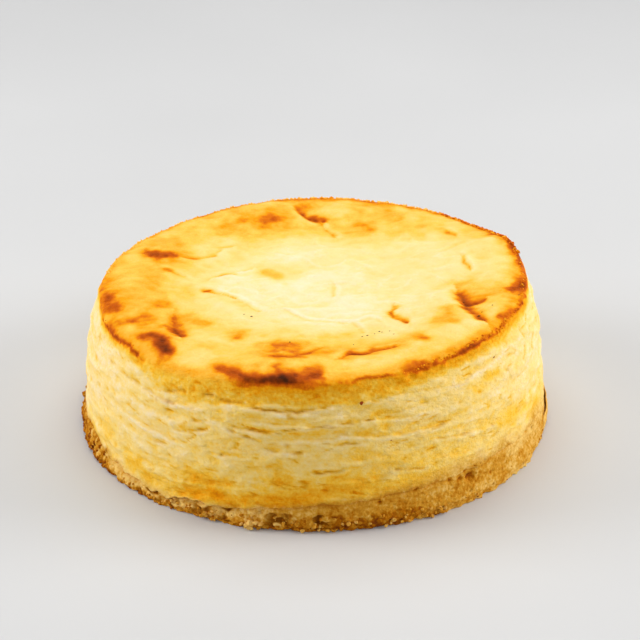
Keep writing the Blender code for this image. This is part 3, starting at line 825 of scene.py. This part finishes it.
def make_filling(material):
    """The filling with its relief and colours, and the rings along its rim that crumbs sit on."""
    rings, sideness, depth, lift, shown = filling_rings()
    side_share = np.broadcast_to(sideness[:, None], depth.shape)
    on_side = side_share > 0.0
    rim_rings = slice(TOP_RINGS + 1, TOP_RINGS + 5)
    edge = np.where(on_side, depth, level_radius(rings[TOP_RINGS + 1])[None] - level_radius(rings))
    plan_heat = rim_heat(rings, top_heat(rings), edge)
    relief_top, line, shade = top_relief(rings, plan_heat)
    # the top's painted shade and light from folds, grooves and creases go into its browning
    plan_heat = unit(plan_heat + shade + np.maximum(0.4 - plan_heat, 0.0) * line)
    relief_side, dark, heat_side, tan = side_form(rings, depth, lift)
    relief_crumb, bake, hollow_shade = biscuit_form(rings)
    tan = tan * side_share
    relief = mix(relief_top, mix(relief_side, relief_crumb, tan), side_share)
    heat = mix(plan_heat, heat_side, ease((depth - 0.001) / 0.0026) * on_side)
    heat, relief = rim_lips(rings, depth, heat, relief)
    relief[shown:] = 0.0
    relief[0] = relief[0].mean()
    rings = raised(rings, relief)
    rings[..., 2] = np.maximum(rings[..., 2], LOWEST)
    strides = [1] * len(rings)
    for i in range(TOP_RINGS):
        radius = level_radius(rings[i]).mean()
        strides[i] = next((n for limit, n in THINNING if radius < limit), 1)
    # dark carries the painted shade of the side's cuts and pits and of the top's creases
    values = {"browning": heat, "tan": tan, "dark": mix(0.3 * line, dark, side_share), "side": side_share,
              "bake": bake, "hollow_shade": hollow_shade}
    return body_from_rings("baked_custard", rings, strides, values, material), rings[rim_rings]


# ---- the biscuit base
def make_base(material):
    """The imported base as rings, its top edge tucked up behind the filling's lower edge."""
    tree = tree_of(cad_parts["biscuit_base"])
    out = spokes(BASE_AROUND)
    full = np.ones(BASE_AROUND)
    edge = top_points(tree, out, EDGE_AT * FOOT_RADIUS * full)[:, 2]
    shoulder = level_radius(side_points(tree, out, edge - 0.0012))
    rings = [top_points(tree, out, share * shoulder) for share in (0.0, 0.9, 0.94)]
    for share, up in TUCK_RINGS:
        rings.append(out * (share * shoulder)[:, None] + UP * (edge + TUCK * up)[:, None])
    side = slice(len(rings), len(rings) + BASE_SIDE_RINGS + 1)
    for i in range(BASE_SIDE_RINGS + 1):
        rings.append(side_points(tree, out, mix(edge - 0.0003, LOWEST * full, i / BASE_SIDE_RINGS)))
    outer = level_radius(rings[-1])
    rings += [top_points(tree, out, share * outer, -1.0) for share in (0.985, 0.9, 0.0)]
    rings = np.array(rings)
    rings[side] = smooth_rings(rings[side], 1, 5)

    relief, bake, hollow_shade = biscuit_form(rings)
    turn, height = direction(rings), rings[..., 2]
    walled = ease((height - 0.0004) / 0.0012) * (1.0 - ease((height - 0.0062) / 0.002))
    walled = walled * ease(0.55 + 1.6 * noise(rings, (0.003, 0.0022), 109))
    # painted shade darkens and browns the caves under the filling
    for degrees, spread, sunk in CAVES:
        cave = toward(turn, degrees, spread) * walled
        relief -= sunk * MM * cave
        hollow_shade = unit(hollow_shade + 0.7 * cave)
        bake = mix(bake, 0.76, 0.8 * cave)
    relief *= mix(0.5, 1.0, ease((edge[None] - height) / 0.0012))
    relief[:side.start] = 0.0
    relief[side.stop:] = 0.0
    moved = raised(rings, relief)

    # At the front left the crumbs reach out as far as the filling does.
    reach = level_radius(moved[side])
    spilled = FOOT_SPILL * (1.0 - ease((height[side] - 0.0015) / 0.0035))
    spilled = spilled * (1.0 + 0.6 * noise(rings[side], 0.004, 114))
    wanted = np.maximum(reach, 0.985 * FOOT_RADIUS + LEDGE_FILL + spilled + relief[side])
    moved[side, :, :2] *= mix(1.0, wanted / reach, toward(turn[side], *LEDGE))[..., None]
    moved[..., 2] = np.maximum(moved[..., 2], 0.0)
    moved[side.stop:, :, 2] = 0.0
    values = {"bake": bake, "hollow_shade": hollow_shade * ease((height - 0.0001) / 0.0012)}
    return body_from_rings("crumb_base", moved, [1] * len(rings), values, material)


# ---- crumbs, flakes and specks
def seat_from_outside(tree, degrees, height):
    """Where the surface is, in one direction at one height, and the direction outwards."""
    angle = math.radians(degrees)
    out = np.array((math.cos(angle), math.sin(angle), 0.0))
    return side_points(tree, out[None], np.array([height]))[0], out


def seat_from_above(tree, x, y):
    """Where the surface is below a place given in millimetres."""
    return cast(tree, np.array([(x * MM, y * MM, CLEAR)]), -UP[None])[0]


def draw(number, what):
    """A fixed number from 0 to 1 for one thing about one crumb.

    The things are 1 and 2 its place, 3 its size or height, 4 its height or size, 5 its tone, 6 and 7 its
    stretch, 8 its turn and 9 the path that it sits on.
    """
    return scatter(number, what, 5, 13)


def pick(number, what, low, high, power=1.0):
    """A fixed number from low to high, nearer to low the higher the power."""
    return mix(low, high, draw(number, what) ** power)


Crumb = namedtuple("Crumb", "number place size tone stretch turn", defaults=(None,))


def broken_ball(round_points, seed, roughness):
    """A ball's points with some flat breaks, and a little uneven besides."""
    reach = np.ones(len(round_points))
    for side in range(BREAKS):
        up, turn, share = (scatter(seed, side, k, 21) for k in (1, 2, 3))
        up, turn = 2.0 * up - 1.0, math.tau * turn
        level = math.sqrt(1.0 - up * up)
        facing = round_points @ np.array((level * math.cos(turn), level * math.sin(turn), up))
        reach = np.minimum(reach, mix(0.5, 0.85, share) / np.maximum(facing, 0.05))
    return round_points * (reach * (1.0 + roughness * noise(round_points + 17.3 * seed, 0.7, 71)))[:, None]


def crumbs_piece(name, crumbs, subdivisions, roughness, material):
    """Broken crumbs joined in one piece. roughness is how uneven they are, as a share of their size."""
    shape = bmesh.new()
    bmesh.ops.create_icosphere(shape, subdivisions=subdivisions, radius=1.0)
    round_points = np.array([vertex.co for vertex in shape.verts])
    round_faces = [[vertex.index for vertex in face.verts] for face in shape.faces]
    shape.free()
    points, faces, tones = [], [], []
    for index, crumb in enumerate(crumbs):
        lump = broken_ball(round_points, crumb.number, roughness) * np.asarray(crumb.stretch)
        turn = math.tau * draw(crumb.number, 8) if crumb.turn is None else crumb.turn
        c, s = math.cos(turn), math.sin(turn)
        lump = lump @ np.array(((c, s, 0.0), (-s, c, 0.0), (0.0, 0.0, 1.0)))
        points.append(lump * crumb.size + np.asarray(crumb.place))
        faces += [tuple(index * len(round_points) + i for i in face) for face in round_faces]
        tones += [crumb.tone] * len(round_points)
    points = np.concatenate(points)
    points[:, 2] = np.maximum(points[:, 2], 0.0)
    values = {"bake": tones, "hollow_shade": np.zeros(len(points))}
    return piece_from(name, points, faces, values, material, flat=True)


def side_crumb(tree, number, degrees, height, size, tone, proud=0.0):
    """A crumb that sticks to the side, sunk to its middle or proud of it by a share of its size."""
    seat, out = seat_from_outside(tree, degrees, height)
    stretch = (1.0, pick(number, 6, 0.6, 1.0), pick(number, 7, 0.55, 0.95))
    return Crumb(number, seat + out * (proud * size), size, tone, stretch)


def make_base_crumbs(material, base_tree):
    crumbs = []
    for number in range(CRUMB_TRIES):
        degrees = pick(number, 1, -180.0, 180.0)
        density = 0.35 + 0.35 * toward(degrees, *MANY_CRUMBS) - 0.2 * toward(degrees, *FEW_CRUMBS)
        if draw(number, 2) > density:
            continue
        size = pick(number, 3, 0.0004, 0.0015, 2.2) * (1.0 - 0.4 * toward(degrees, *SMALL_CRUMBS))
        height = pick(number, 4, 0.0003, 0.006, 1.4) * (1.0 - 0.6 * toward(degrees, *LOW_CRUMBS))
        tone = pick(number, 5, 0.36, 0.66) + 0.1 * (height < 0.002)
        crumbs.append(side_crumb(base_tree, number, degrees, height, size, tone, -0.35))
    for index, (degrees, spread, count, size, tone) in enumerate(CLUMPS):
        first = CLUMP_FIRST + CLUMP_MOST * index
        for number in range(first, first + count):
            turn = degrees + spread * (draw(number, 1) + draw(number, 2) - 1.0)
            height, share = pick(number, 3, 0.0006, 0.004), pick(number, 4, 0.45, 1.1)
            toned = tone + pick(number, 5, -0.12, 0.12)
            crumbs.append(side_crumb(base_tree, number, turn, height, size * share, toned, 0.5))
    return crumbs_piece("base_crumbs", crumbs, 2, 0.26, material)


def make_crust_flakes(material, base_tree):
    """Dark flakes of baked-on crust at the far left of the base, and two large ones behind them."""
    crumbs = []
    for number in range(FLAKE_FIRST, FLAKE_FIRST + FLAKE_COUNT):
        degrees, height = pick(number, 1, -183.0, -147.0), pick(number, 4, 0.0006, 0.0075)
        size, tone = pick(number, 3, 0.0006, 0.0015, 1.5), pick(number, 5, 0.55, 0.84)
        crumbs.append(side_crumb(base_tree, number, degrees, height, size, tone, -0.2))
    for number, large in enumerate(LARGE_FLAKES, FLAKE_FIRST + 100):
        crumbs.append(side_crumb(base_tree, number, *large))
    return crumbs_piece("crust_flakes", crumbs, 3, 0.3, material)


def make_rim_crumbs(material, filling_tree, lip_rings):
    """Crisp bits along the back of the rim and on the dark lips at the front."""
    crumbs = []
    for number in range(LIP_FIRST, LIP_FIRST + LIP_BITS):
        path = RIM_TEAR if draw(number, 9) < TEAR_SHARE else RIM_LIP
        spot = draw(number, 1) * (len(path) - 1)
        inwards = 1.0 - 0.01 * draw(number, 2)
        x, y = (inwards * mix(path[int(spot)][k], path[int(spot) + 1][k], spot % 1.0) for k in (0, 1))
        size, tone = pick(number, 4, 0.0003, 0.00085, 1.6), pick(number, 5, 0.48, 0.64)
        crumbs.append(Crumb(number, seat_from_above(filling_tree, x, y), size, tone, (1.0, 0.7, 0.8)))
    for index, (start, end, count, low, high, largest) in enumerate(RIM_BITS):
        first = BIT_FIRST + BITS_MOST * index
        for number in range(first, first + count):
            turn = math.radians(pick(number, 1, start, end))
            at = int((turn + math.pi) / math.tau * AROUND) % AROUND
            ring = lip_rings[int(draw(number, 2) * len(lip_rings))]
            size, tone = pick(number, 3, 0.4, 1.0, 1.5) * largest, pick(number, 5, low, high)
            stretch = (1.0, pick(number, 6, 0.5, 1.0), pick(number, 7, 0.5, 1.0))
            crumbs.append(Crumb(number, ring[at] + UP * 0.2 * size, size, tone, stretch))
    return crumbs_piece("rim_crumbs", crumbs, 1, 0.24, material)


def make_specks(material, filling_tree):
    """Black pinholes, as specks of painted shade, and scorched dashes on the top, and a few specks in the
    side.
    """
    crumbs = []
    for number, (x, y, radius) in enumerate(SPECKS, SPECK_FIRST):
        place = seat_from_above(filling_tree, x, y)
        crumbs.append(Crumb(number, place, radius * MM, 0.98, (1.0, 0.7, 0.35), 0.4))
    for number, (degrees, height, radius) in enumerate(SIDE_SPECKS, SPECK_FIRST + 100):
        place, _ = seat_from_outside(filling_tree, degrees, height * MM)
        crumbs.append(Crumb(number, place, radius * MM, 0.86, (0.5, 1.0, 0.9), math.radians(degrees)))
    return crumbs_piece("dark_specks", crumbs, 2, 0.15, material)


def make_peel(material, base_tree):
    """A thin peel of the base's crust standing off it at the right, with a dark gap behind."""
    columns, rows = PEEL_COLUMNS, PEEL_ROWS
    section = [(1.0, j) for j in range(rows + 1)] + [(-1.0, j) for j in range(rows, -1, -1)]
    count = len(section)
    points, faces = [], []
    for i in range(columns + 1):
        along = i / columns
        for side, j in section:
            up = j / rows
            reach = PEEL_RISE * math.sin(math.pi * along) ** 0.7 * (0.35 + 0.65 * up)
            height = mix(0.002, mix(0.007, 0.012, along), up) + 0.0007 * math.sin(9.0 * along + 1.3) * up
            seat, out = seat_from_outside(base_tree, mix(*PEEL_SPAN, along), height)
            rim = 1.0 - 0.6 * max(abs(2.0 * along - 1.0), up) ** 4
            points.append(seat + out * (reach + side * 0.5 * PEEL_THICKNESS * rim))
        if i:
            faces += faces_between(range((i - 1) * count, i * count), range(i * count, (i + 1) * count))
    last = columns * count
    for j in range(rows):
        faces.append((j, j + 1, count - 2 - j, count - 1 - j))
        faces.append((last + j, last + count - 1 - j, last + count - 2 - j, last + j + 1))
    values = {"bake": np.full(len(points), 0.3), "hollow_shade": np.zeros(len(points))}
    return piece_from("crust_peel", points, faces, values, material)


# ---- materials
def linear(colour):
    """A colour given as 0 to 255 on screen, as the linear values that a shader takes."""
    levels = (c / 255.0 for c in colour)
    return tuple(((c + 0.055) / 1.055) ** 2.4 if c > 0.0404 else c / 12.92 for c in levels) + (1.0,)


def grey(level):
    return (level, level, level, 1.0)


class Look:
    """A material with one Principled shader, and short ways to add nodes to it."""

    def __init__(self, name):
        self.material = bpy.data.materials.new(name)
        self.material.use_nodes = True
        self.tree = self.material.node_tree
        self.place = self.add("TexCoord", {}).outputs["Object"]

    def join(self, sources, inputs):
        """Gives each named input its source: the output of another node, a number or a colour."""
        for key, source in sources.items():
            if isinstance(source, (int, float, tuple)):
                inputs[key].default_value = source
            else:
                self.tree.links.new(source, inputs[key])

    def add(self, kind, sources, **settings):
        node = self.tree.nodes.new("ShaderNode" + kind)
        for name, setting in settings.items():
            setattr(node, name, setting)
        self.join(sources, node.inputs)
        return node

    def value(self, name):
        return self.add("Attribute", {}, attribute_type='GEOMETRY', attribute_name=name).outputs["Fac"]

    def math(self, operation, *sources, clamp=False):
        return self.add("Math", dict(enumerate(sources)), operation=operation, use_clamp=clamp).outputs[0]

    def noise(self, size, detail=2.0, flat=1.0):
        """Noise with lumps of that size, flat times longer than they are high."""
        place = self.add("Mapping", {"Vector": self.place, "Scale": (1.0, 1.0, flat)}).outputs[0]
        sources = {"Vector": place, "Scale": 1.0 / size, "Detail": detail, "Roughness": 0.55}
        return self.add("TexNoise", sources).outputs["Fac"]

    def ramp(self, source, stops):
        """Colours along a scale, given as (place, linear colour) or (place, colour on screen)."""
        stops = [(at, shade if len(shade) == 4 else linear(shade)) for at, shade in stops]
        node = self.add("ValToRGB", {"Fac": source})
        elements = node.color_ramp.elements
        elements[0].position, elements[0].color = stops[0]
        elements[1].position, elements[1].color = stops[-1]
        for position, colour in stops[1:-1]:
            elements.new(position).color = colour
        return node.outputs["Color"]

    def mix(self, factor, a, b, blend='MIX'):
        return self.add("Mix", {0: factor, 6: a, 7: b}, data_type='RGBA', blend_type=blend).outputs[2]

    def bump(self, height, distance):
        return self.add("Bump", {"Height": height, "Distance": distance}).outputs[0]

    def finish(self, colour, roughness, specular=0.5, **more):
        """Joins up the shader and returns the material. In more, an underscore stands for a space."""
        sources = {"Base Color": colour, "Roughness": roughness, "Specular IOR Level": specular}
        sources.update({name.replace("_", " "): source for name, source in more.items()})
        self.join(sources, self.tree.nodes["Principled BSDF"].inputs)
        return self.material


def biscuit_colour(look):
    """Colour of crumbly biscuit with its grain, from how baked a place is, with painted shade between crumbs
    and in pores.
    """
    grain = look.math('MULTIPLY', look.noise(BISCUIT_GRAIN, 4.0), 0.6)
    level = look.math('ADD', look.value("bake"), look.math('SUBTRACT', grain, 0.3), clamp=True)
    return look.mix(look.value("hollow_shade"), look.ramp(level, BAKE_COLOURS), linear(HOLLOW_SHADE_COLOUR))


def custard_material():
    look = Look("baked_custard")
    heat, tan, dark, side = (look.value(name) for name in ("browning", "tan", "dark", "side"))
    coarse = look.math('SUBTRACT', look.math('MULTIPLY', look.noise(0.0042), 0.12), 0.06)
    fine = look.math('SUBTRACT', look.noise(0.0011, 3.0), 0.5)
    fine = look.math('MULTIPLY', fine, look.math('MULTIPLY_ADD', side, 0.14, 0.08))
    level = look.math('ADD', heat, look.math('ADD', coarse, fine), clamp=True)
    colour = look.ramp(level, HEAT_COLOURS)
    colour = look.mix(side, colour, look.mix(1.0, colour, look.ramp(level, SIDE_TINTS), 'MULTIPLY'))
    colour = look.mix(tan, colour, biscuit_colour(look))
    # painted shade in cuts, pits and creases
    colour = look.mix(look.math('MULTIPLY', dark, 0.9, clamp=True), colour, linear(CUT_SHADE_COLOUR))
    shine = look.ramp(level, [(0.0, grey(0.5)), (0.45, grey(0.46)), (0.75, grey(0.38)), (1.0, grey(0.4))])
    pores = look.math('ADD', look.noise(0.0016, 3.0, 1.8), look.math('MULTIPLY', look.noise(0.0006), 0.35))
    rough = look.mix(side, shine, grey(0.65))
    return look.finish(colour, rough, CUSTARD_SHINE, Normal=look.bump(pores, 0.00055),
                       Subsurface_Weight=0.1, Subsurface_Scale=0.0014, Subsurface_Radius=(1.0, 0.55, 0.22))


def biscuit_material():
    look = Look("crumbly_biscuit")
    grain = look.bump(look.noise(0.0008, 3.0), 0.0003)
    return look.finish(biscuit_colour(look), 0.85, BISCUIT_SHINE, Normal=grain)


def crisp_material():
    """The crisped rim: the skin's own browning, on bits that stand off it."""
    look = Look("crisp_rim")
    grain = look.math('MULTIPLY', look.noise(0.0008, 3.0), 0.2)
    level = look.math('ADD', look.value("bake"), look.math('SUBTRACT', grain, 0.1), clamp=True)
    return look.finish(look.ramp(level, HEAT_COLOURS), 0.6, CUSTARD_SHINE)


# scorched specks, and painted shade for pinholes
def speck_material():
    look = Look("scorched_speck_and_pinhole_shade")
    shade = look.ramp(look.value("bake"), SPECK_COLOURS)
    patchy = look.mix(look.noise(0.0006), shade, linear((60, 26, 8)))
    return look.finish(look.mix(0.35, shade, patchy), 0.5, BISCUIT_SHINE)


# ---- stage, light and camera
def make_floor():
    bpy.ops.mesh.primitive_plane_add(size=FLOOR_SIZE)
    floor = bpy.context.object
    floor.name = "floor"
    look = Look("pale_floor")
    floor.data.materials.append(look.finish(look.ramp(look.noise(0.3), FLOOR_COLOURS), 0.7))


def make_lights():
    world = bpy.data.worlds.new("studio")
    world.use_nodes = True
    backdrop = world.node_tree.nodes["Background"].inputs
    backdrop["Color"].default_value = grey(1.0)
    backdrop["Strength"].default_value = WORLD_STRENGTH
    bpy.context.scene.world = world
    for name, place, (width, depth), power in SOFTBOXES:
        data = bpy.data.lights.new(name, 'AREA')
        data.shape = 'RECTANGLE'
        data.size, data.size_y = width, depth
        data.energy = power
        lamp = put(bpy.data.objects.new(name, data))
        lamp.location = place
        aim = Vector((0.0, 0.0, 0.5 * CAKE_HEIGHT)) - Vector(place)
        lamp.rotation_euler = aim.to_track_quat('-Z', 'Y').to_euler()


def make_camera():
    data = bpy.data.cameras.new("camera")
    data.sensor_width = 36.0
    data.lens = CAMERA_LENS
    data.shift_x, data.shift_y = CAMERA_SHIFT
    camera = put(bpy.data.objects.new("camera", data))
    tilt = math.radians(CAMERA_ELEVATION)
    back = Vector((0.0, -math.cos(tilt), math.sin(tilt)))
    camera.location = CAMERA_AIM * Vector(UP) + CAMERA_DISTANCE * back
    camera.rotation_euler = (0.5 * math.pi - tilt, 0.0, 0.0)
    bpy.context.scene.camera = camera


def ride(piece, slot_name, *nodes):
    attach(piece, "root")
    if nodes:
        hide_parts(*nodes)


def main():
    custard, biscuit = custard_material(), biscuit_material()
    filling, rim_rings = make_filling(custard)
    base = make_base(biscuit)
    filling_tree, base_tree = tree_of(filling), tree_of(base)
    ride(filling, "cheese_filling", "cheese_filling")
    ride(base, "biscuit_base", "biscuit_base")
    for make in (make_base_crumbs, make_crust_flakes, make_peel):
        ride(make(biscuit, base_tree), "biscuit_base")
    ride(make_rim_crumbs(crisp_material(), filling_tree, rim_rings), "cheese_filling")
    ride(make_specks(speck_material(), filling_tree), "cheese_filling")
    make_floor()
    make_lights()
    make_camera()
    bpy.context.scene.view_settings.view_transform = 'Standard'
    bpy.context.scene.view_settings.look = 'None'


main()
